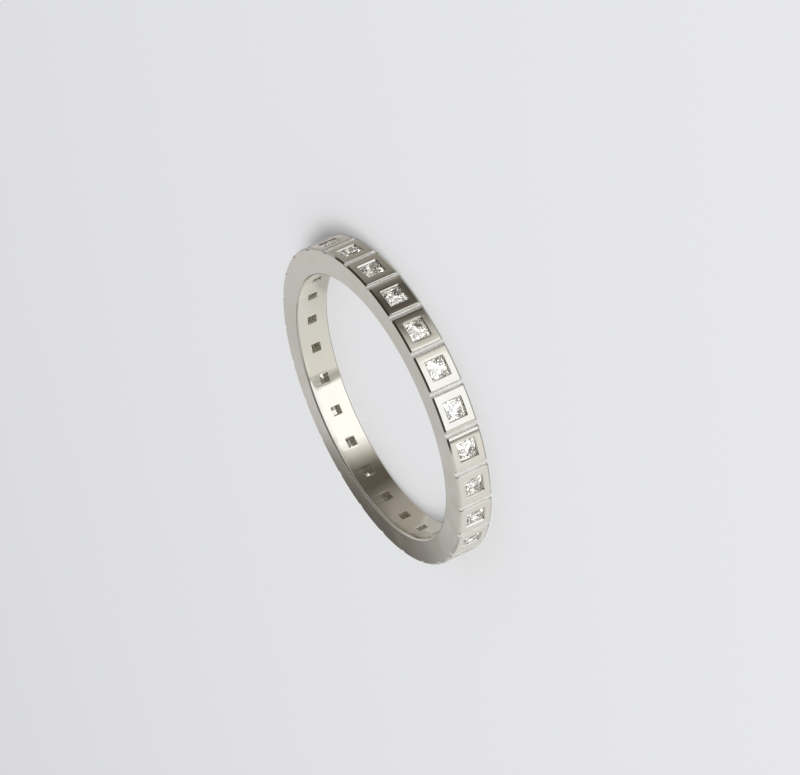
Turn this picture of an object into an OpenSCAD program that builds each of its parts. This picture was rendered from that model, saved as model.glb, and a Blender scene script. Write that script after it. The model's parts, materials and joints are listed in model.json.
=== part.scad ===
// Full eternity band: a plain polished hoop, cut into equal panels by cross
// grooves, with one square-cut stone sunk flush into each panel.
// Millimetres. The hoop lies on its side: +Z is the finger axis, the lower
// side face rests on z = 0, the origin is at the middle of that face's plane,
// and the first stone faces -Y. The stones count counter-clockwise.

/* [Band] */
// Finger size: diameter of the bore
finger_d = 16.7; // [14:0.1:22]
// Thickness of the hoop, from the bore to the polished panels
wall_t = 1.65; // [1.5:0.05:2.4]
// Width of the hoop along the finger
band_w = 2.1; // [2.0:0.05:3]
// Bevel on the two outer edges
edge_bevel = 0.1; // [0.05:0.01:0.25]
// Bevel on the two bore edges
bore_bevel = 0.1; // [0.05:0.01:0.2]

/* [Panels] */
// Number of panels, and of stones
panel_n = 25; // [16:1:28]
// Width of the groove between two panels
groove_w = 0.32; // [0.15:0.01:0.4]
// Depth of the groove
groove_depth = 0.18; // [0.1:0.01:0.35]

/* [Stones] */
// Side of a square stone at its girdle
stone_w = 1.12; // [1:0.01:1.3]
// How far the table lies below the panel
table_sink = 0.03; // [0.02:0.01:0.14]
// Height of the crown above the girdle
crown_h = 0.12; // [0.08:0.01:0.16]
// Thickness of the girdle
girdle_t = 0.04; // [0.02:0.01:0.06]
// Depth of the pavilion, from the girdle to the culet
pavilion_h = 0.66; // [0.6:0.01:0.7]

/* [Settings] */
// Clearance between a stone and its seat
stone_gap = 0.03; // [0.02:0.005:0.05]
// Width that the bright-cut bevel adds round each opening
opening_bevel = 0.03; // [0.02:0.01:0.1]
// Side of the square light hole behind each stone
light_hole_w = 0.58; // [0.4:0.01:0.7]

/* [Hidden] */
bore_r = finger_d / 2;
outer_r = bore_r + wall_t;
pitch = 360 / panel_n;
half_stone = stone_w / 2;
// Heights along a stone's own axis, with the panel at zero
table_z = -table_sink;
girdle_top_z = table_z - crown_h;
girdle_low_z = girdle_top_z - girdle_t;
culet_z = girdle_low_z - pavilion_h;
// Slope of the crown's four side facets from the girdle plane
crown_angle = 38;
half_table = half_stone - crown_h / tan(crown_angle);
// How much of each table edge its two small corner facets take off
table_corner = 0.06;
// Where the chevron facets meet on the middle line of each side: reach from
// the axis in half stone widths, and depth below the girdle in pavilion depths
MIDLINE = [
    [0.62, 0.58],
    [0.45, 0.74],
];
reach_col = 0;
depth_col = 1;
// Slope of the uppermost pavilion facet, which the seat in the hoop follows
seat_angle = atan(
    MIDLINE[0][depth_col] * pavilion_h / (half_stone * (1 - MIDLINE[0][reach_col])));
// How far cutting shapes run past what they cut
past = 1;
// How far one cut runs into the next
lap = 0.04;
// Steps round the hoop
band_steps = 180;

function stone_turn(i) = -90 + i * pitch;

// Cross-section of the hoop, with its four bevelled edges
module hoop_section() {
    polygon([
        [bore_r, bore_bevel],
        [bore_r + bore_bevel, 0],
        [outer_r - edge_bevel, 0],
        [outer_r, edge_bevel],
        [outer_r, band_w - edge_bevel],
        [outer_r - edge_bevel, band_w],
        [bore_r + bore_bevel, band_w],
        [bore_r, band_w - bore_bevel],
    ]);
}

// Moves what is modelled with its panel surface at z = 0, looking up, to the
// panel at one angle round the hoop
module on_panel(angle) {
    rotate([0, 0, angle])
        translate([outer_r, 0, band_w / 2])
            rotate([0, 90, 0])
                children();
}

// Square well whose half-width goes from low_half to top_half
module square_taper(low_z, top_z, low_half, top_half) {
    intersection_for (turn = [0, 90])
        rotate([0, 0, turn])
            rotate([90, 0, 0])
                translate([0, 0, -stone_w])
                    linear_extrude(2 * stone_w)
                        polygon([
                            [-low_half, low_z],
                            [low_half, low_z],
                            [top_half, top_z],
                            [-top_half, top_z],
                        ]);
}

// Straight square well
module square_well(low_z, top_z, half) {
    translate([-half, -half, low_z])
        cube([2 * half, 2 * half, top_z - low_z]);
}

// All that is cut away for one stone: bright-cut bevel, pocket, seat and hole
module setting_cut() {
    pocket_half = half_stone + stone_gap;
    hole_half = light_hole_w / 2;
    seat_low_z = girdle_low_z - (pocket_half - hole_half) * tan(seat_angle);
    square_taper(-opening_bevel, past, pocket_half, pocket_half + opening_bevel + past);
    square_well(girdle_low_z, 0, pocket_half);
    square_taper(seat_low_z, girdle_low_z, hole_half, pocket_half);
    square_well(-wall_t - past, seat_low_z + lap, hole_half);
}

// Groove across the hoop between two panels
module groove_cut() {
    translate([-band_w / 2 - past, -groove_w / 2, -groove_depth])
        cube([band_w + 2 * past, groove_w, groove_depth + past]);
}

// The hoop: one casting with all its grooves and settings
module band() {
    color("gainsboro")
        difference() {
            rotate_extrude($fn = band_steps)
                hoop_section();
            for (i = [0 : panel_n - 1]) {
                on_panel(stone_turn(i))
                    setting_cut();
                on_panel(stone_turn(i + 0.5))
                    groove_cut();
            }
        }
}

// Places, in order, of one side's points in the stone's list of points
table_start = 0;
table_end = 1;
girdle_top = 2;
girdle_low = 3;
upper_chevron = 4;
lower_chevron = 5;
points_per_side = 6;
culet = 4 * points_per_side;

// The points of the side that looks along +X
function side_points() = [
    [half_table, table_corner - half_table, table_z],
    [half_table, half_table - table_corner, table_z],
    [half_stone, -half_stone, girdle_top_z],
    [half_stone, -half_stone, girdle_low_z],
    for (meet = MIDLINE)
        [meet[reach_col] * half_stone, 0, girdle_low_z - meet[depth_col] * pavilion_h],
];

// A point turned about the stone's axis
function turned(point, turn) = [
    point.x * cos(turn) - point.y * sin(turn),
    point.x * sin(turn) + point.y * cos(turn),
    point.z,
];

// The facets of one side, whose own points and the next side's start at the
// given places in the list
function side_facets(own, next) = [
    [own + girdle_top, own + table_start, own + table_end, next + girdle_top],
    [own + table_end, next + table_start, next + girdle_top],
    [own + girdle_low, own + girdle_top, next + girdle_top, next + girdle_low],
    [own + girdle_low, next + girdle_low, own + upper_chevron],
    [own + girdle_low, own + upper_chevron, own + lower_chevron],
    [next + girdle_low, own + lower_chevron, own + upper_chevron],
    [own + girdle_low, own + lower_chevron, culet],
    [next + girdle_low, culet, own + lower_chevron],
];

// Square-cut stone with its table up: crown, girdle and chevron pavilion
module cut_stone() {
    polyhedron(
        points = [
            for (side = [0 : 3], point = side_points())
                turned(point, 90 * side),
            [0, 0, culet_z],
        ],
        faces = [
            [for (side = [3 : -1 : 0], end = [table_end, table_start])
                side * points_per_side + end],
            for (side = [0 : 3])
                each side_facets(side * points_per_side, (side + 1) % 4 * points_per_side),
        ]);
}

// One stone, set in its panel
module stone(i) {
    color("white")
        on_panel(stone_turn(i))
            cut_stone();
}

band();
stone(0);  // stone_01
stone(1);  // stone_02
stone(2);  // stone_03
stone(3);  // stone_04
stone(4);  // stone_05
stone(5);  // stone_06
stone(6);  // stone_07
stone(7);  // stone_08
stone(8);  // stone_09
stone(9);  // stone_10
stone(10);  // stone_11
stone(11);  // stone_12
stone(12);  // stone_13
stone(13);  // stone_14
stone(14);  // stone_15
stone(15);  // stone_16
stone(16);  // stone_17
stone(17);  // stone_18
stone(18);  // stone_19
stone(19);  // stone_20
stone(20);  // stone_21
stone(21);  // stone_22
stone(22);  // stone_23
stone(23);  // stone_24
stone(24);  // stone_25
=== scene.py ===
"""Looks of a full eternity band that lies on its side on a plain pale floor.

The hoop is polished white gold, cut into equal panels by cross grooves. Each panel holds one
square-cut diamond, sunk flush, with a square light hole behind it that opens into the bore.

The hoop is modelled in millimetres as one straight sector, which is repeated along a strip and
bent round to a ring. Finished pieces are in metres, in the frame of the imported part: +Z is the
finger axis, the lower side face lies on z = 0, and the first stone faces -Y.
"""

import json
import logging
import math
from dataclasses import dataclass, field
from enum import Enum
from typing import Any, Callable

import bmesh
import bpy
from mathutils import Matrix, Vector

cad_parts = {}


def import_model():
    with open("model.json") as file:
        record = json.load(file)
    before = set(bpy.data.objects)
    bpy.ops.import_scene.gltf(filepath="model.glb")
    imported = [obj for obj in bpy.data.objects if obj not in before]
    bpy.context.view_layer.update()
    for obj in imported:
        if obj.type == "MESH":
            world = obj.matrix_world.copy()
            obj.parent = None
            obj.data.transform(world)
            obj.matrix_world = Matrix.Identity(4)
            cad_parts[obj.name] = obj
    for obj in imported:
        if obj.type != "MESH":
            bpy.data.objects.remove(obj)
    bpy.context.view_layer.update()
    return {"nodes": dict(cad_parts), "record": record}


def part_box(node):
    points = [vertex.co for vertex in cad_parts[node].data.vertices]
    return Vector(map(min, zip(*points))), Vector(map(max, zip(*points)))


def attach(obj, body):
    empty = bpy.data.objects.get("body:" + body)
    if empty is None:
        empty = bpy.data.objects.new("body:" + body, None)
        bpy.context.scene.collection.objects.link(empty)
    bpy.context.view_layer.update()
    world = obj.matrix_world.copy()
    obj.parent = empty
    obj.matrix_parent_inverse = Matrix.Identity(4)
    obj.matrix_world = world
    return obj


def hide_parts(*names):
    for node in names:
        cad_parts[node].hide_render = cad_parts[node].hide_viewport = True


MM = 0.001
# In modelling millimetres: places nearer than SAME are one place, and seams nearer than SEAM close
SAME = 1e-4
SEAM = 1e-3
# Height of a side face's normal: every other face's is lower
SIDE_NORMAL = 0.999
BODY = "root"
LOG = logging.getLogger("eternity_band")

Triple = tuple[float, float, float]
Stops = tuple[tuple[float, str], ...]
FaceTest = Callable[[Vector, Vector], bool]
EdgeTest = Callable[[Vector, Vector], bool]


def linear(hex_colour: str) -> tuple[float, float, float, float]:
    """Turn an sRGB hex colour into linear red, green, blue and alpha.

    Args:
        hex_colour: Six hex digits, two each for red, green and blue.

    Returns:
        The linear colour, with alpha 1.
    """
    channels = [int(hex_colour[at : at + 2], 16) / 255 for at in (0, 2, 4)]
    curved = [c / 12.92 if c <= 0.04045 else ((c + 0.055) / 1.055) ** 2.4 for c in channels]
    return (*curved, 1.0)


def add_node(
    material: bpy.types.Material,
    kind: str,
    settings: dict[str, Any] | None = None,
    inputs: dict[str, Any] | None = None,
    stops: Stops = (),
) -> bpy.types.Node:
    """Add one node to a material, with its settings, values, links and colour stops.

    Args:
        material: Material whose node tree takes the node.
        kind: Node type, such as ShaderNodeTexNoise.
        settings: Values of the node's own properties.
        inputs: For each input socket, a value, or the output socket that feeds it.
        stops: Places and sRGB hex colours along a colour ramp, if the node is one.

    Returns:
        The new node.
    """
    tree = material.node_tree
    node = tree.nodes.new(kind)
    for name, value in (settings or {}).items():
        setattr(node, name, value)
    for name, value in (inputs or {}).items():
        if isinstance(value, bpy.types.NodeSocket):
            tree.links.new(value, node.inputs[name])
        else:
            node.inputs[name].default_value = value
    for index, (place, colour) in enumerate(stops):
        elements = node.color_ramp.elements
        element = elements[index] if index < 2 else elements.new(place)
        element.position = place
        element.color = linear(colour)
    return node


def new_material(name: str) -> bpy.types.Material:
    """Return an empty node material of that name."""
    material = bpy.data.materials.new(name)
    material.use_nodes = True
    material.node_tree.nodes.clear()
    return material


@dataclass(frozen=True)
class WhiteGold:
    """Cast white gold with one finish: polished by hand on a soft wheel, frosted or as cast.

    The wheel leaves a bright but slightly wavy mirror, so reflections are clear and their edges
    wander. The alloy's nickel leaves it a little warm beside the neutral floor, unevenly so. The
    real polishing marks are finer, and are drawn coarser here so that they show.
    """

    name: str
    tint: str = "EDEAE1"
    warm_tint: str = "EAE6DA"
    roughness: float = 0.06
    wear: float = 0.05
    wave_mm: float = 0.9
    wave_rise_mm: float = 0.0012
    patches_per_wave: float = 0.6
    scratch_mm: float = 0.05
    scratch_rise_mm: float = 0.00008

    def make(self) -> bpy.types.Material:
        """Return the material."""
        material = new_material(self.name)
        place = add_node(material, "ShaderNodeTexCoord").outputs["Object"]
        waves = add_node(
            material,
            "ShaderNodeTexNoise",
            inputs={"Vector": place, "Scale": 1 / (self.wave_mm * MM), "Detail": 1.5},
        )
        wave_bump = add_node(
            material,
            "ShaderNodeBump",
            inputs={"Height": waves.outputs["Fac"], "Distance": self.wave_rise_mm * MM},
        )
        scratches = add_node(
            material,
            "ShaderNodeTexNoise",
            inputs={"Vector": place, "Scale": 1 / (self.scratch_mm * MM), "Detail": 4.0},
        )
        bump = add_node(
            material,
            "ShaderNodeBump",
            inputs={
                "Height": scratches.outputs["Fac"],
                "Distance": self.scratch_rise_mm * MM,
                "Normal": wave_bump.outputs["Normal"],
            },
        )
        patches = add_node(
            material,
            "ShaderNodeTexNoise",
            inputs={
                "Vector": place,
                "Scale": self.patches_per_wave / (self.wave_mm * MM),
                "Detail": 5.0,
            },
        )
        rubbed = add_node(
            material,
            "ShaderNodeMapRange",
            inputs={
                "Value": patches.outputs["Fac"],
                "From Min": 0.35,
                "From Max": 0.7,
                "To Min": self.roughness,
                "To Max": self.roughness + self.wear,
            },
        )
        tints = add_node(
            material,
            "ShaderNodeValToRGB",
            inputs={"Fac": patches.outputs["Fac"]},
            stops=((0.35, self.tint), (0.65, self.warm_tint)),
        )
        shader = add_node(
            material,
            "ShaderNodeBsdfPrincipled",
            inputs={
                "Base Color": tints.outputs["Color"],
                "Metallic": 1.0,
                "Roughness": rubbed.outputs["Result"],
                "Normal": bump.outputs["Normal"],
            },
        )
        add_node(
            material, "ShaderNodeOutputMaterial", inputs={"Surface": shader.outputs["BSDF"]}
        )
        return material


@dataclass(frozen=True)
class CutDiamond:
    """Colourless diamond, faceted and polished: its high index gives the hard glitter.

    The facets are quite smooth. Faint clouds in the stone warm it a little, unevenly.
    """

    name: str = "diamond_faceted_polished"
    tint: str = "FCFBF8"
    cloudy_tint: str = "F6F4EF"
    ior: float = 2.417
    cloud_mm: float = 0.25

    def make(self) -> bpy.types.Material:
        """Return the material."""
        material = new_material(self.name)
        place = add_node(material, "ShaderNodeTexCoord").outputs["Object"]
        clouds = add_node(
            material,
            "ShaderNodeTexNoise",
            inputs={"Vector": place, "Scale": 1 / (self.cloud_mm * MM), "Detail": 3.0},
        )
        tints = add_node(
            material,
            "ShaderNodeValToRGB",
            inputs={"Fac": clouds.outputs["Fac"]},
            stops=((0.4, self.tint), (0.7, self.cloudy_tint)),
        )
        shader = add_node(
            material,
            "ShaderNodeBsdfPrincipled",
            inputs={
                "Base Color": tints.outputs["Color"],
                "Roughness": 0.0,
                "IOR": self.ior,
                "Transmission Weight": 1.0,
            },
        )
        add_node(
            material, "ShaderNodeOutputMaterial", inputs={"Surface": shader.outputs["BSDF"]}
        )
        return material


@dataclass(frozen=True)
class MattPaper:
    """Matt white paper of the studio floor, with a faint grain."""

    name: str = "matt_paper"
    tint: str = "E6E6E7"
    grain_mm: float = 0.4
    grain_rise_mm: float = 0.004

    def make(self) -> bpy.types.Material:
        """Return the material."""
        material = new_material(self.name)
        place = add_node(material, "ShaderNodeTexCoord").outputs["Object"]
        fibres = add_node(
            material,
            "ShaderNodeTexNoise",
            inputs={"Vector": place, "Scale": 1 / (self.grain_mm * MM), "Detail": 2.0},
        )
        bump = add_node(
            material,
            "ShaderNodeBump",
            inputs={"Height": fibres.outputs["Fac"], "Distance": self.grain_rise_mm * MM},
        )
        shader = add_node(
            material,
            "ShaderNodeBsdfPrincipled",
            inputs={
                "Base Color": linear(self.tint),
                "Roughness": 0.9,
                "Specular IOR Level": 0.1,
                "Normal": bump.outputs["Normal"],
            },
        )
        add_node(
            material, "ShaderNodeOutputMaterial", inputs={"Surface": shader.outputs["BSDF"]}
        )
        return material


class Spread(Enum):
    """How a studio card's shade changes across it."""

    ROUND_A_POINT = "RADIAL"
    OUT_FROM_A_POINT = "SPHERICAL"


@dataclass(frozen=True)
class PaintedReflectionGlow:
    """Glowing studio card, seen only in the metal and the stones: painted reflections in soft
    bands of light and dark.

    Angles are in degrees about the centre; distances out from it are in millimetres.
    """

    name: str
    spread: Spread
    stops: Stops
    centre: Triple = (0.0, 0.0, 0.0)
    reach_mm: float = 100.0
    strength: float = 1.0

    def make(self) -> bpy.types.Material:
        """Return the material."""
        material = new_material(self.name)
        place = add_node(material, "ShaderNodeTexCoord").outputs["Object"]
        whole_mm = self.reach_mm if self.spread is Spread.OUT_FROM_A_POINT else 1.0
        centred = add_node(
            material,
            "ShaderNodeMapping",
            inputs={
                "Vector": place,
                "Location": Vector(self.centre) / -whole_mm,
                "Scale": Vector((1, 1, 1)) / (whole_mm * MM),
            },
        )
        gradient = add_node(
            material,
            "ShaderNodeTexGradient",
            settings={"gradient_type": self.spread.value},
            inputs={"Vector": centred.outputs["Vector"]},
        )
        if self.spread is Spread.ROUND_A_POINT:
            stops = tuple((angle / 360 + 0.5, colour) for angle, colour in self.stops)
        else:
            stops = tuple(
                (1 - distance / self.reach_mm, colour) for distance, colour in self.stops
            )
        bands = add_node(
            material,
            "ShaderNodeValToRGB",
            inputs={"Fac": gradient.outputs["Fac"]},
            stops=stops,
        )
        glow = add_node(
            material,
            "ShaderNodeEmission",
            inputs={"Color": bands.outputs["Color"], "Strength": self.strength},
        )
        add_node(
            material, "ShaderNodeOutputMaterial", inputs={"Surface": glow.outputs["Emission"]}
        )
        material.cycles.emission_sampling = "NONE"
        return material


@dataclass(frozen=True)
class PaintedSparkleGlow:
    """Glowing dome of grey cells with bright panes between them, which only the stones see:
    painted sparkle.
    """

    name: str = "painted_sparkle_glow"
    pane_mm: float = 130.0
    stops: Stops = ((0.0, "625F59"), (0.45, "7D7972"), (0.55, "F0EDE6"), (0.8, "FFFCF5"))
    strength: float = 1.5

    def make(self) -> bpy.types.Material:
        """Return the material."""
        material = new_material(self.name)
        place = add_node(material, "ShaderNodeTexCoord").outputs["Object"]
        cells = add_node(
            material,
            "ShaderNodeTexVoronoi",
            inputs={"Vector": place, "Scale": 1 / (self.pane_mm * MM)},
        )
        grey = add_node(
            material, "ShaderNodeRGBToBW", inputs={"Color": cells.outputs["Color"]}
        )
        shades = add_node(
            material,
            "ShaderNodeValToRGB",
            inputs={"Fac": grey.outputs["Val"]},
            stops=self.stops,
        )
        glow = add_node(
            material,
            "ShaderNodeEmission",
            inputs={"Color": shades.outputs["Color"], "Strength": self.strength},
        )
        add_node(
            material, "ShaderNodeOutputMaterial", inputs={"Surface": glow.outputs["Emission"]}
        )
        material.cycles.emission_sampling = "NONE"
        return material


def activate(piece: bpy.types.Object) -> None:
    """Deselect everything, then select this piece and make it the active one."""
    for other in bpy.context.selected_objects:
        other.select_set(False)
    piece.select_set(True)
    bpy.context.view_layer.objects.active = piece


def place_for_good(piece: bpy.types.Object) -> None:
    """Move a piece's turn, scale and place into its mesh, so that its object is at the origin."""
    activate(piece)
    bpy.ops.object.transform_apply(location=True, rotation=True, scale=True)


def apply_modifier(piece: bpy.types.Object, kind: str, **settings: Any) -> None:
    """Add a modifier with its settings to a piece and apply it."""
    activate(piece)
    modifier = piece.modifiers.new(kind.lower(), kind)
    for name, value in settings.items():
        setattr(modifier, name, value)
    bpy.ops.object.modifier_apply(modifier=modifier.name)


def choose_faces(piece: bpy.types.Object, test: FaceTest) -> None:
    """Select, in edit mode, just the faces that pass a test.

    Args:
        piece: The piece in edit mode.
        test: Takes a face's middle and its normal.
    """
    bpy.ops.mesh.select_mode(type="FACE")
    bpy.ops.mesh.select_all(action="DESELECT")
    work = bmesh.from_edit_mesh(piece.data)
    for face in [f for f in work.faces if test(f.calc_center_median(), f.normal)]:
        face.select_set(True)
    bmesh.update_edit_mesh(piece.data)


def choose_edges(piece: bpy.types.Object, test: EdgeTest) -> None:
    """Select, in edit mode, just the edges that pass a test.

    Args:
        piece: The piece in edit mode.
        test: Takes the places of an edge's two ends.
    """
    bpy.ops.mesh.select_mode(type="EDGE")
    bpy.ops.mesh.select_all(action="DESELECT")
    work = bmesh.from_edit_mesh(piece.data)
    for edge in [e for e in work.edges if test(e.verts[0].co, e.verts[1].co)]:
        edge.select_set(True)
    bmesh.update_edit_mesh(piece.data)


def near(value: float, target: float) -> bool:
    """Say whether two lengths in millimetres are the same for modelling."""
    return abs(value - target) < SAME


def cut_places(half: float, steps: int, end: float, steps_beyond: int) -> list[float]:
    """Return places for lines across an opening, and from its edges out to both ends.

    Args:
        half: Half the width of the opening.
        steps: Steps from its middle to each edge.
        end: Distance of the ends from its middle.
        steps_beyond: Steps from each edge to that end, where no line is needed.

    Returns:
        The places, measured from the opening's middle.
    """
    stride = (end - half) / steps_beyond
    across = [half * share / steps for share in range(-steps, steps + 1)]
    counts = range(1, steps_beyond)
    return across + [side * (half + stride * count) for side in (-1, 1) for count in counts]


class Region(Enum):
    """Regions of the hoop whose polish differs, in the order of its material slots."""

    PANEL = 0
    SIDE = 1
    BORE = 2
    GROOVE = 3
    SETTING = 4
    HOLE = 5


@dataclass(frozen=True)
class SettingLevel:
    """One level of a setting: its depth below the panel and half its width there, in mm."""

    depth: float
    half: float


@dataclass
class Band:
    """The hoop: bore, side faces, bevelled edges, panels, grooves, settings and light holes.

    All sizes are in millimetres.
    """

    outer_r: float
    bore_r: float
    width: float
    panels: int
    groove_w: float = 0.32
    groove_depth: float = 0.18
    edge_bevel: float = 0.1
    bore_round: float = 0.1
    shoulder_round: float = 0.05
    groove_fillet: float = 0.12
    rim_round: float = 0.015
    hole_rim_round: float = 0.03
    smooth_under: float = 35.0
    cut_slack: float = 1e-6
    opening: SettingLevel = SettingLevel(0.0, 0.61)
    # Down the bright-cut slope to the lip over the stone's edge, out to the pocket round its
    # girdle, and down the seat to the light hole
    below: tuple[SettingLevel, ...] = (
        SettingLevel(0.1, 0.552),
        SettingLevel(0.118, 0.555),
        SettingLevel(0.15, 0.59),
        SettingLevel(0.19, 0.59),
        SettingLevel(0.729, 0.29),
    )
    hole_half: float = 0.29
    finishes: dict[Region, WhiteGold] = field(
        default_factory=lambda: {
            Region.PANEL: WhiteGold("white_gold_mirror_polished"),
            Region.SIDE: WhiteGold(
                "white_gold_lapped_flat", roughness=0.09, wave_rise_mm=0.0006
            ),
            Region.BORE: WhiteGold(
                "white_gold_bore_polished", roughness=0.08, wave_rise_mm=0.002, wave_mm=1.4
            ),
            # Frosted finish; its near-white tint, above the polished metal's, is painted light
            # that brightens the grooves
            Region.GROOVE: WhiteGold(
                "white_gold_groove_frosted_painted_light",
                tint="FFFDF8",
                warm_tint="FBF8F0",
                roughness=0.5,
                wave_mm=0.4,
            ),
            Region.SETTING: WhiteGold(
                "white_gold_bright_cut", roughness=0.05, wave_mm=0.3
            ),
            # Rough as-cast finish; its tint, lighter than the polished metal's, is painted light
            # that brightens the light holes
            Region.HOLE: WhiteGold(
                "white_gold_as_cast_painted_light", tint="F8F5ED", warm_tint="F2EEE3", roughness=0.6
            ),
        }
    )

    @property
    def wall(self) -> float:
        """Thickness of the hoop."""
        return self.outer_r - self.bore_r

    @property
    def pitch(self) -> float:
        """Length of one sector, measured along the outside."""
        return 2 * math.pi * self.outer_r / self.panels

    @property
    def panel_half(self) -> float:
        """Half the length of a panel, up to its grooves."""
        return (self.pitch - self.groove_w) / 2

    @property
    def middle(self) -> float:
        """Height of the panels' middle line."""
        return self.width / 2

    def along(self, half: float, depth: float) -> float:
        """Return how far along the straight strip a half width reaches at a depth.

        Args:
            half: Half the width on the finished ring.
            depth: Depth below the outside.

        Returns:
            The half width on the strip, which bending narrows to the given one.
        """
        return self.outer_r * math.asin(half / (self.outer_r - depth))

    def build(self) -> bpy.types.Object:
        """Model one sector, repeat it and bend the strip into the hoop.

        Returns:
            The finished hoop, in metres.
        """
        piece = self.block()
        self.soften_edges(piece)
        self.cut_for_bending(piece)
        self.sink_setting(piece)
        bpy.ops.object.mode_set(mode="OBJECT")
        self.repeat_and_bend(piece)
        self.smooth(piece)
        return piece

    def block(self) -> bpy.types.Object:
        """Make the sector's plain block, open at both ends, with half a groove at each end.

        Returns:
            The block, left in edit mode.
        """
        bpy.ops.mesh.primitive_plane_add(size=1)
        piece = bpy.context.active_object
        piece.name = "Band_hoop"
        piece.scale = (self.pitch, self.wall, 1)
        piece.location = (0, self.wall / 2, 0)
        place_for_good(piece)
        bpy.ops.object.mode_set(mode="EDIT")
        for place, normal in (
            ((-self.panel_half, 0, 0), (1, 0, 0)),
            ((self.panel_half, 0, 0), (1, 0, 0)),
            ((0, self.groove_depth, 0), (0, 1, 0)),
        ):
            bpy.ops.mesh.select_all(action="SELECT")
            bpy.ops.mesh.bisect(plane_co=place, plane_no=normal, threshold=self.cut_slack)
        choose_faces(
            piece, lambda mid, _: abs(mid.x) > self.panel_half and mid.y < self.groove_depth
        )
        bpy.ops.mesh.delete(type="FACE")
        bpy.ops.mesh.select_all(action="SELECT")
        bpy.ops.mesh.dissolve_limited(angle_limit=math.radians(1))
        bpy.ops.mesh.select_all(action="SELECT")
        bpy.ops.mesh.extrude_region_move(TRANSFORM_OT_translate={"value": (0, 0, self.width)})
        bpy.ops.mesh.select_all(action="SELECT")
        bpy.ops.mesh.normals_make_consistent(inside=False)
        choose_faces(piece, lambda mid, _: near(abs(mid.x), self.pitch / 2))
        bpy.ops.mesh.delete(type="ONLY_FACE")
        return piece

    def bevel_edges(
        self, piece: bpy.types.Object, test: EdgeTest, offset: float, segments: int
    ) -> None:
        """Bevel the edges that pass a test.

        Args:
            piece: The sector in edit mode.
            test: Takes the places of an edge's two ends.
            offset: Width of the bevel on each side of the edge.
            segments: Facets across the bevel; 1 leaves a flat one.
        """
        choose_edges(piece, test)
        bpy.ops.mesh.bevel(offset=offset, segments=segments, profile=0.5, affect="EDGES")

    def soften_edges(self, piece: bpy.types.Object) -> None:
        """Bevel the outer edges, and round the bore's edges, the panels' ends and the grooves."""

        def at_side(a: Vector, b: Vector, depth: float) -> bool:
            """Say whether an edge runs along a side face, at a depth below the outside."""
            on_face = near(a.z, 0) or near(a.z, self.width)
            return on_face and near(a.z, b.z) and near(a.y, depth) and near(b.y, depth)

        def on_wall(a: Vector, b: Vector) -> bool:
            """Say whether an edge lies in one wall of a groove."""
            return near(abs(a.x), self.panel_half) and near(a.x, b.x)

        def over_floor(a: Vector, b: Vector) -> bool:
            """Say whether an edge reaches out past the grooves' floors."""
            return min(a.y, b.y) < self.groove_depth - SEAM

        def at_floor(a: Vector, b: Vector) -> bool:
            """Say whether an edge is as deep as the grooves' floors."""
            return near(a.y, self.groove_depth) and near(b.y, self.groove_depth)

        for test, offset, segments in (
            (lambda a, b: at_side(a, b, 0), self.edge_bevel, 1),
            (lambda a, b: at_side(a, b, self.wall), self.bore_round, 4),
            (lambda a, b: on_wall(a, b) and over_floor(a, b), self.shoulder_round, 3),
            (lambda a, b: on_wall(a, b) and at_floor(a, b), self.groove_fillet, 6),
        ):
            self.bevel_edges(piece, test, offset, segments)

    def cut_lines(
        self, piece: bpy.types.Object, test: FaceTest, axis: int, at: list[float]
    ) -> None:
        """Cut lines across the faces that pass a test.

        Args:
            piece: The sector in edit mode.
            test: Takes a face's middle and its normal.
            axis: Direction square to the lines' planes, 0 along the strip and 2 across it.
            at: Places of the lines along that direction.
        """
        normal = Vector((0, 0, 0))
        normal[axis] = 1
        for place in at:
            choose_faces(piece, test)
            bpy.ops.mesh.bisect(
                plane_co=normal * place, plane_no=normal, threshold=self.cut_slack
            )

    def cut_for_bending(self, piece: bpy.types.Object) -> None:
        """Cut lines across the outside and the bore, so that both follow the circle."""

        def on_outside(mid: Vector, normal: Vector) -> bool:
            """Say whether a face belongs to the outer half and isn't a side face."""
            return mid.y < self.wall / 2 and abs(normal.z) <= SIDE_NORMAL

        def on_bore(mid: Vector, normal: Vector) -> bool:
            """Say whether a face belongs to the inner half and isn't a side face."""
            return mid.y > self.wall / 2 and abs(normal.z) <= SIDE_NORMAL

        opening = self.along(self.opening.half, 0)
        panel_end = self.panel_half - self.shoulder_round
        hole = self.along(self.hole_half, self.wall)
        self.cut_lines(piece, on_outside, 0, cut_places(opening, 4, panel_end, 3))
        self.cut_lines(piece, on_bore, 0, cut_places(hole, 4, self.pitch / 2, 5))
        for test, half in ((on_outside, self.opening.half), (on_bore, self.hole_half)):
            at = [self.middle + half * share for share in (-1, -0.5, 0, 0.5, 1)]
            self.cut_lines(piece, test, 2, at)

    def sink_setting(self, piece: bpy.types.Object) -> None:
        """Sink the opening, pocket, seat and light hole, and open the hole into the bore."""
        x_half = self.along(self.opening.half, 0)
        z_half = self.opening.half
        level = self.opening

        def inside(mid: Vector, reach_x: float, reach_z: float) -> bool:
            """Say whether a place is within the given reaches of the setting's axis."""
            return abs(mid.x) < reach_x and abs(mid.z - self.middle) < reach_z

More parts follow.
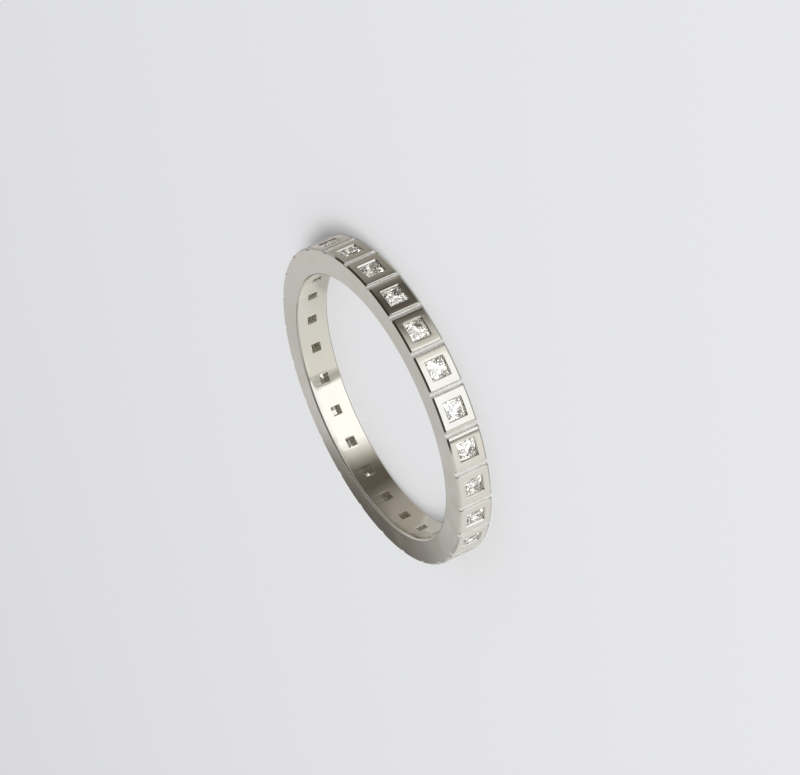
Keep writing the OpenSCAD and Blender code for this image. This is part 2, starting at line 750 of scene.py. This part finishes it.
        choose_faces(piece, lambda mid, _: near(mid.y, 0) and inside(mid, x_half, z_half))
        for below in (*self.below, SettingLevel(self.wall, self.hole_half)):
            bpy.ops.mesh.extrude_region_move(
                TRANSFORM_OT_translate={"value": (0, below.depth - level.depth, 0)}
            )
            ratio_x = self.along(below.half, below.depth) / self.along(level.half, level.depth)
            bpy.ops.transform.resize(
                value=(ratio_x, 1, below.half / level.half),
                center_override=(0, below.depth, self.middle),
            )
            level = below
        bpy.ops.mesh.delete(type="FACE")
        hole_x = self.along(self.hole_half, self.wall)
        choose_faces(
            piece,
            lambda mid, normal: near(mid.y, self.wall) and inside(mid, hole_x, self.hole_half),
        )
        bpy.ops.mesh.delete(type="FACE")
        bpy.ops.mesh.select_all(action="SELECT")
        bpy.ops.mesh.remove_doubles(threshold=SAME)

        def on_rim(place: Vector, depth: float, half_x: float, half_z: float) -> bool:
            """Say whether a place is on the rim of an opening with the given half widths."""
            x = abs(place.x)
            z = abs(place.z - self.middle)
            within = x < half_x + SAME and z < half_z + SAME
            return near(place.y, depth) and within and (near(x, half_x) or near(z, half_z))

        for rim, offset in (
            ((self.wall, hole_x, self.hole_half), self.hole_rim_round),
            ((0, x_half, z_half), self.rim_round),
        ):
            self.bevel_edges(
                piece,
                lambda a, b, rim=rim: on_rim(a, *rim) and on_rim(b, *rim),
                offset,
                segments=2,
            )

    def repeat_and_bend(self, piece: bpy.types.Object) -> None:
        """Repeat the sector along a strip, bend the strip round and close the seam."""
        piece.location.x = -self.pitch * (self.panels - 1) / 2
        place_for_good(piece)
        apply_modifier(
            piece,
            "ARRAY",
            count=self.panels,
            use_relative_offset=False,
            use_constant_offset=True,
            constant_offset_displace=(self.pitch, 0, 0),
            use_merge_vertices=True,
            merge_threshold=SEAM,
        )
        apply_modifier(
            piece, "SIMPLE_DEFORM", deform_method="BEND", deform_axis="Z", angle=2 * math.pi
        )
        piece.location = (0, -self.outer_r, 0)
        place_for_good(piece)
        bpy.ops.object.mode_set(mode="EDIT")
        bpy.ops.mesh.select_all(action="SELECT")
        bpy.ops.mesh.remove_doubles(threshold=SEAM)
        bpy.ops.mesh.normals_make_consistent(inside=False)
        bpy.ops.object.mode_set(mode="OBJECT")
        piece.scale = (MM, MM, MM)
        place_for_good(piece)

    def smooth(self, piece: bpy.types.Object) -> None:
        """Shade curved stretches smooth, with the larger faces deciding how light turns."""
        activate(piece)
        bpy.ops.object.shade_smooth_by_angle(angle=math.radians(self.smooth_under))
        apply_modifier(piece, "WEIGHTED_NORMAL", keep_sharp=True, weight=50)

    def region_of(self, mid: Vector, normal: Vector) -> Region:
        """Name the region that a face belongs to.

        Args:
            mid: The face's middle, in metres.
            normal: The face's normal.

        Returns:
            The region.
        """
        # Depth of what still counts as the surface, and how far faces may stray over a border
        skin = 0.03
        slack = 0.01
        beyond_opening = self.opening.half + 0.05
        reach = math.hypot(mid.x, mid.y) / MM
        depth = self.outer_r - reach
        height = mid.z / MM
        turn = math.degrees(math.atan2(mid.y, mid.x)) + 90
        sector = 360 / self.panels
        off = abs((turn + sector / 2) % sector - sector / 2)
        off_mm = math.radians(off) * reach
        on_side = not self.edge_bevel < height < self.width - self.edge_bevel
        if on_side and abs(normal.z) > SIDE_NORMAL:
            return Region.SIDE
        if depth > self.wall - self.bore_round - slack and (
            off_mm > self.hole_half or depth > self.wall - skin
        ):
            return Region.BORE
        if off_mm > self.panel_half - slack:
            return Region.GROOVE
        if depth < skin or max(off_mm, abs(height - self.middle)) > beyond_opening:
            return Region.PANEL
        return Region.HOLE if depth > self.below[-1].depth else Region.SETTING

    def dress(self, piece: bpy.types.Object) -> None:
        """Give each region its polish.

        Args:
            piece: The finished hoop.
        """
        for region in Region:
            piece.data.materials.append(self.finishes[region].make())
        for face in piece.data.polygons:
            face.material_index = self.region_of(face.center, face.normal).value


@dataclass
class Stone:
    """One square-cut stone: table, crown, girdle and a pavilion of nested chevrons.

    All sizes are in millimetres, measured from the girdle's lower edge. Each chevron facet passes
    a corner of the girdle: it has a turn from its side's own direction, and a depth, as a share of
    the pavilion's, at which it would reach the axis.
    """

    side: float = 1.12
    girdle: float = 0.04
    crown: float = 0.12
    pavilion: float = 0.66
    side_slope: float = 38.0
    star_slope: float = 25.0
    corner_slope: float = 24.0
    star_share: float = 0.4
    # Turn in degrees, either way, and depth of each pair of chevron facets
    chevrons: tuple[tuple[float, float], ...] = ((10, 1.3), (19, 1.14), (30, 1.03))
    main_depth: float = 1.55
    cut_slack: float = 1e-5
    finish: CutDiamond = CutDiamond()

    @property
    def half(self) -> float:
        """Half the stone's side."""
        return self.side / 2

    def facet(self, turn: float, reach: float, height: float, lean: float) -> None:
        """Grind one facet: everything beyond its plane is cut off and the cut is closed.

        Args:
            turn: Direction that the facet faces, in degrees about the stone's axis.
            reach: Distance from the axis of a point on the facet.
            height: Height of that point.
            lean: Angle of the facet's normal from straight up, in degrees.
        """
        up = Vector((0, 0, 1))
        facing = Matrix.Rotation(math.radians(turn), 3, "Z") @ Vector((1, 0, 0))
        bpy.ops.mesh.select_all(action="SELECT")
        bpy.ops.mesh.bisect(
            plane_co=facing * reach + up * height,
            plane_no=facing * math.sin(math.radians(lean)) + up * math.cos(math.radians(lean)),
            use_fill=True,
            clear_outer=True,
            threshold=self.cut_slack,
        )

    def build(self) -> bpy.types.Object:
        """Cut one stone from a cube, with its axis up and its girdle's lower edge at height 0.

        Returns:
            The stone, in millimetres.
        """
        top = self.girdle + self.crown
        bpy.ops.mesh.primitive_cube_add(size=1)
        piece = bpy.context.active_object
        piece.scale = (self.side, self.side, top + self.pavilion)
        piece.location = (0, 0, (top - self.pavilion) / 2)
        place_for_good(piece)
        bpy.ops.object.mode_set(mode="EDIT")
        star_height = self.girdle + self.crown * (1 - self.star_share)
        star_reach = self.half - (star_height - self.girdle) / math.tan(
            math.radians(self.side_slope)
        )
        for turn in (0, 90, 180, 270):
            self.facet(turn, self.half, self.girdle, self.side_slope)
            self.facet(turn, star_reach, star_height, self.star_slope)
            self.facet(turn + 45, self.half * math.sqrt(2), self.girdle, self.corner_slope)
            self.pavilion_facet(turn, 0, self.main_depth)
            for off, depth in self.chevrons:
                self.pavilion_facet(turn, off, depth)
                self.pavilion_facet(turn, -off, depth)
        bpy.ops.object.mode_set(mode="OBJECT")
        return piece

    def pavilion_facet(self, side_turn: float, off: float, depth: float) -> None:
        """Grind one facet of the pavilion, through a corner of the girdle.

        Args:
            side_turn: Direction of the side that the facet belongs to, in degrees.
            off: Turn of the facet from that direction, in degrees.
            depth: Depth at which it would reach the axis, in pavilion depths.
        """
        off_turn = math.radians(abs(off))
        reach = self.half * (math.cos(off_turn) + math.sin(off_turn))
        slope = math.degrees(math.atan(depth * self.pavilion / reach))
        self.facet(side_turn + off, reach, 0, 180 - slope)

    def dress(self, piece: bpy.types.Object) -> None:
        """Give the stone its material, with flat facets."""
        piece.data.materials.append(self.finish.make())
        for face in piece.data.polygons:
            face.use_smooth = False


@dataclass
class StoneRow:
    """The stones, one in the middle of each panel, counted counter-clockwise from -Y."""

    stone: Stone
    outer_r: float
    width: float
    count: int
    table_sink: float = 0.03

    def seat(self, index: int) -> Matrix:
        """Return where a stone goes, from its own place in millimetres to the ring in metres.

        Args:
            index: The stone's place in the row, from 0.
        """
        girdle_depth = self.table_sink + self.stone.crown + self.stone.girdle
        turn = math.radians(-90 + 360 / self.count * index)
        return (
            Matrix.Rotation(turn, 4, "Z")
            @ Matrix.Translation(Vector((self.outer_r - girdle_depth, 0, self.width / 2)) * MM)
            @ Matrix.Rotation(math.radians(90), 4, "Y")
            @ Matrix.Scale(MM, 4)
        )

    def build(self) -> list[bpy.types.Object]:
        """Cut one stone and set a copy of it, with its own mesh, in every panel.

        Returns:
            The stones, in order.
        """
        first = self.stone.build()
        self.stone.dress(first)
        pieces = [first]
        for _ in range(1, self.count):
            copy = first.copy()
            copy.data = first.data.copy()
            bpy.context.scene.collection.objects.link(copy)
            pieces.append(copy)
        for index, piece in enumerate(pieces):
            piece.name = f"Stone_{index + 1:02d}_cut"
            piece.matrix_world = self.seat(index)
            place_for_good(piece)
        return pieces


@dataclass
class PhotoCamera:
    """Camera at the photograph's angle to the ring. Lengths are in millimetres."""

    aim: Triple = (0.324, -0.394, -0.005)
    azimuth: float = -92.628
    elevation: float = 20.54
    roll: float = -114.35
    distance: float = 232.9
    lens: float = 180.0
    sensor: float = 36.0
    nearest: float = 10.0
    farthest: float = 10000.0

    def build(self) -> None:
        """Make the camera and hand it to the scene."""
        data = bpy.data.cameras.new("Photo_camera")
        data.lens = self.lens
        data.sensor_width = self.sensor
        data.clip_start = self.nearest * MM
        data.clip_end = self.farthest * MM
        camera = bpy.data.objects.new("Photo_camera", data)
        bpy.context.scene.collection.objects.link(camera)
        level = math.radians(self.elevation)
        turn = math.radians(self.azimuth)
        back = Vector(
            (math.cos(level) * math.cos(turn), math.cos(level) * math.sin(turn), math.sin(level))
        )
        right = Vector((0, 0, 1)).cross(back).normalized()
        up = back.cross(right)
        roll = math.radians(self.roll)
        right, up = (
            right * math.cos(roll) + up * math.sin(roll),
            up * math.cos(roll) - right * math.sin(roll),
        )
        turned = Matrix((right, up, back)).transposed().to_4x4()
        place = (Vector(self.aim) + back * self.distance) * MM
        camera.matrix_world = Matrix.Translation(place) @ turned
        bpy.context.scene.camera = camera


@dataclass(frozen=True)
class SoftLight:
    """A square white studio light that looks at the ring, and that the metal doesn't reflect.

    Lengths are in millimetres, and the power is in watts.
    """

    name: str
    place: Triple
    size: float
    power: float

    def build(self) -> None:
        """Hang the light."""
        data = bpy.data.lights.new(self.name, "AREA")
        data.shape = "SQUARE"
        data.size = self.size * MM
        data.energy = self.power
        light = bpy.data.objects.new(self.name, data)
        bpy.context.scene.collection.objects.link(light)
        place = Vector(self.place) * MM
        light.location = place
        light.rotation_mode = "QUATERNION"
        light.rotation_quaternion = place.to_track_quat("Z", "Y")
        light.visible_glossy = False
        light.visible_camera = False


def hide_card(card: bpy.types.Object, for_stones: bool = False) -> None:
    """Hide a studio card from all but the metal's reflections, or all but the stones.

    Args:
        card: The card.
        for_stones: True if light that has passed through a stone sees it, and nothing else.
    """
    card.visible_camera = False
    card.visible_diffuse = False
    card.visible_shadow = False
    card.visible_volume_scatter = False
    card.visible_glossy = not for_stones
    card.visible_transmission = for_stones


@dataclass(frozen=True)
class RingCard:
    """A flat, coned or upright glowing collar round the finger axis: a painted reflection. Lengths
    are in mm.
    """

    inner_r: float
    inner_z: float
    outer_r: float
    outer_z: float
    # Its glowing print, which paints the reflection
    paper: PaintedReflectionGlow

    def build(self) -> None:
        """Cut the collar and paint its glowing bands."""
        bpy.ops.mesh.primitive_circle_add(vertices=144, radius=self.inner_r * MM)
        card = bpy.context.active_object
        card.name = self.paper.name
        card.location.z = self.inner_z * MM
        place_for_good(card)
        bpy.ops.object.mode_set(mode="EDIT")
        bpy.ops.mesh.select_all(action="SELECT")
        bpy.ops.mesh.extrude_region_move(
            TRANSFORM_OT_translate={"value": (0, 0, (self.outer_z - self.inner_z) * MM)}
        )
        share = self.outer_r / self.inner_r
        bpy.ops.transform.resize(
            value=(share, share, 1), center_override=(0, 0, self.outer_z * MM)
        )
        bpy.ops.object.mode_set(mode="OBJECT")
        card.data.materials.append(self.paper.make())
        hide_card(card)


@dataclass(frozen=True)
class FlatCard:
    """A rectangular glowing card that faces the ring and paints reflections in the metal, unless
    it is for the stones, where it paints light. Lengths are in millimetres.
    """

    place: Triple
    wide: float
    tall: float
    # Its glowing print: painted reflections in soft bands
    paper: PaintedReflectionGlow
    for_stones: bool = False

    def build(self) -> None:
        """Cut the card, hang it and paint its glow."""
        bpy.ops.mesh.primitive_grid_add(x_subdivisions=2, y_subdivisions=2, size=1)
        card = bpy.context.active_object
        card.name = self.paper.name
        place = Vector(self.place)
        card.scale = (self.wide * MM, self.tall * MM, 1)
        card.rotation_mode = "QUATERNION"
        card.rotation_quaternion = place.to_track_quat("Z", "Y")
        card.location = place * MM
        place_for_good(card)
        card.data.materials.append(self.paper.make())
        hide_card(card, self.for_stones)


@dataclass
class Studio:
    """Plain pale floor, soft light, and glowing cards that paint the reflections in the metal and
    the stones.
    """

    floor_side: float = 4000.0
    floor_finish: MattPaper = MattPaper()
    sky: str = "CECFD1"
    sky_strength: float = 0.7
    light: SoftLight = SoftLight("Key_light", place=(-250, -300, 690), size=520, power=4.45)
    dome_r: float = 400.0
    painted_sparkle_dome: PaintedSparkleGlow = PaintedSparkleGlow()
    # Painted reflection in the panels: a glowing band round the ring, below the floor, seen only
    # in reflections
    surround_card: RingCard = RingCard(
        inner_r=150.0,
        inner_z=-140.0,
        outer_r=150.0,
        outer_z=-2.0,
        paper=PaintedReflectionGlow(
            "Surround_painted_reflection_card",
            Spread.ROUND_A_POINT,
            (
                (-160, "D0D0D0"),
                (-145, "D8D8D7"),
                (-135.8, "D8D8D7"),
                (-135, "6A665F"),
                (-133, "6A665F"),
                (-132.2, "F1F4FA"),
                (-84, "F2F5FB"),
                (-79, "DEDDDB"),
                (-64, "B2B0AD"),
                (-52, "6C6965"),
                (-45, "56524E"),
                (-29, "4C4844"),
                (-21, "68645F"),
                (-9, "7C7873"),
                (5, "86827D"),
                (36, "96938F"),
                (50, "A8A5A2"),
                (62, "B8B6B4"),
                (100, "BAB8B6"),
                (120, "C9C8C8"),
                (180, "CFCFD1"),
            ),
            strength=1.25,
        ),
    )
    # Painted reflection in the far wall of the bore: a glowing cone inside the ring, seen only in
    # reflections
    bore_card: RingCard = RingCard(
        inner_r=6.1,
        inner_z=1.3,
        outer_r=8.33,
        outer_z=0.003,
        paper=PaintedReflectionGlow(
            "Bore_painted_reflection_card",
            Spread.ROUND_A_POINT,
            (
                (-30, "A9A9A7"),
                (-7, "A9A9A7"),
                (-3, "BFBFBD"),
                (12, "C9C9C7"),
                (45, "D3D3D1"),
                (49, "A8A8A5"),
                (53, "A8A8A5"),
                (56, "FBFDFF"),
                (107.5, "FBFDFF"),
                (117, "CCCAC7"),
                (124, "9B9893"),
                (130, "6C6862"),
                (136, "57534C"),
                (145, "544F48"),
                (152, "75716B"),
                (160, "908B85"),
                (176, "9C9892"),
                (180, "B5B3B0"),
            ),
            centre=(0.24, 4.4, 0.0),
            strength=1.25,
        ),
    )
    # Painted reflection in the upper outer bevel: dark and light glowing bands overhead; seen from
    # above, the side face looks through its hole
    overhead_card: RingCard = RingCard(
        inner_r=34.0,
        inner_z=150.0,
        outer_r=310.0,
        outer_z=150.0,
        paper=PaintedReflectionGlow(
            "Overhead_painted_reflection_card",
            Spread.ROUND_A_POINT,
            (
                (-165, "D3D3D3"),
                (-158, "4C4844"),
                (-117, "48443F"),
                (-28, "38342F"),
                (9, "3A3632"),
                (30, "45413C"),
                (38, "5A5650"),
                (46, "8C8985"),
                (58, "C7C7C7"),
                (68, "C7C7C7"),
                (76, "4A4642"),
                (125, "4A4642"),
                (138, "D3D3D3"),
            ),
        ),
    )
    # Painted reflection in the upper side face, and a bright glowing pane that paints light into
    # the stones
    flat_cards: tuple[FlatCard, ...] = (
        FlatCard(
            place=(0.0, 60.0, 24.0),
            wide=90.0,
            tall=40.0,
            paper=PaintedReflectionGlow(
                "Side_face_painted_reflection_card",
                Spread.OUT_FROM_A_POINT,
                (
                    (26, "CBCBCB"),
                    (20.5, "C3C3C3"),
                    (16.5, "CACACA"),
                    (14, "C9C9CA"),
                    (13.2, "AFAEAD"),
                    (12.4, "868380"),
                    (11.5, "6D6965"),
                    (10.5, "5F5B56"),
                    (9.5, "56524D"),
                ),
                centre=(-8.0, 64.8, 12.0),
            ),
        ),
        FlatCard(
            place=(-14.0, -58.0, 22.0),
            wide=130.0,
            tall=110.0,
            paper=PaintedReflectionGlow(
                "Front_stone_painted_light_card",
                Spread.OUT_FROM_A_POINT,
                ((75, "77746F"), (45, "A8A59F"), (30, "FFFDF8"), (0, "FFFDF8")),
                centre=(-16.0, -57.5, 22.0),
                strength=2.8,
            ),
            for_stones=True,
        ),
    )

    def build(self) -> None:
        """Lay the floor, set the sky, hang the light and stand the glowing cards that paint
        reflections round the ring.
        """
        bpy.ops.mesh.primitive_plane_add(size=self.floor_side * MM)
        floor = bpy.context.active_object
        floor.name = "Floor"
        floor.data.materials.append(self.floor_finish.make())
        floor.visible_glossy = False
        # Glowing dome that only light through the stones sees: it paints the stones' sparkle
        bpy.ops.mesh.primitive_ico_sphere_add(subdivisions=4, radius=self.dome_r * MM)
        dome = bpy.context.active_object
        dome.name = "Sparkle_dome"
        dome.data.materials.append(self.painted_sparkle_dome.make())
        hide_card(dome, for_stones=True)
        world = bpy.data.worlds.new("Studio_sky")
        bpy.context.scene.world = world
        world.use_nodes = True
        background = world.node_tree.nodes["Background"]
        background.inputs["Color"].default_value = linear(self.sky)
        background.inputs["Strength"].default_value = self.sky_strength
        self.light.build()
        for card in (self.surround_card, self.bore_card, self.overhead_card, *self.flat_cards):
            card.build()
        scene = bpy.context.scene
        scene.view_settings.view_transform = "Standard"
        scene.cycles.max_bounces = 24
        scene.cycles.glossy_bounces = 16
        scene.cycles.transmission_bounces = 24


def main() -> None:
    """Build the camera, the hoop, the stones and the studio, in that order."""
    logging.basicConfig(level=logging.INFO, format="%(name)s: %(message)s")
    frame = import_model()
    low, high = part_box("band")
    bore_mm = next(
        mount["dims"]["r_mm"]
        for mount in frame["record"]["mounts"]
        if mount["name"] == "finger_bore"
    )
    outer_r = round(high.x / MM, 3)
    width = round((high.z - low.z) / MM, 3)
    stone_nodes = sorted(name for name in frame["nodes"] if name.startswith("stone"))

    PhotoCamera().build()

    band = Band(outer_r=outer_r, bore_r=bore_mm, width=width, panels=len(stone_nodes))
    hoop = band.build()
    band.dress(hoop)
    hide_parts("band")
    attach(hoop, BODY)
    LOG.info("%s: %d faces", hoop.name, len(hoop.data.polygons))

    row = StoneRow(Stone(), outer_r, width, len(stone_nodes))
    for piece, node in zip(row.build(), stone_nodes):
        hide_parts(node)
        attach(piece, BODY)
        LOG.info("%s: %d faces", piece.name, len(piece.data.polygons))

    Studio().build()


if __name__ == "__main__":
    main()
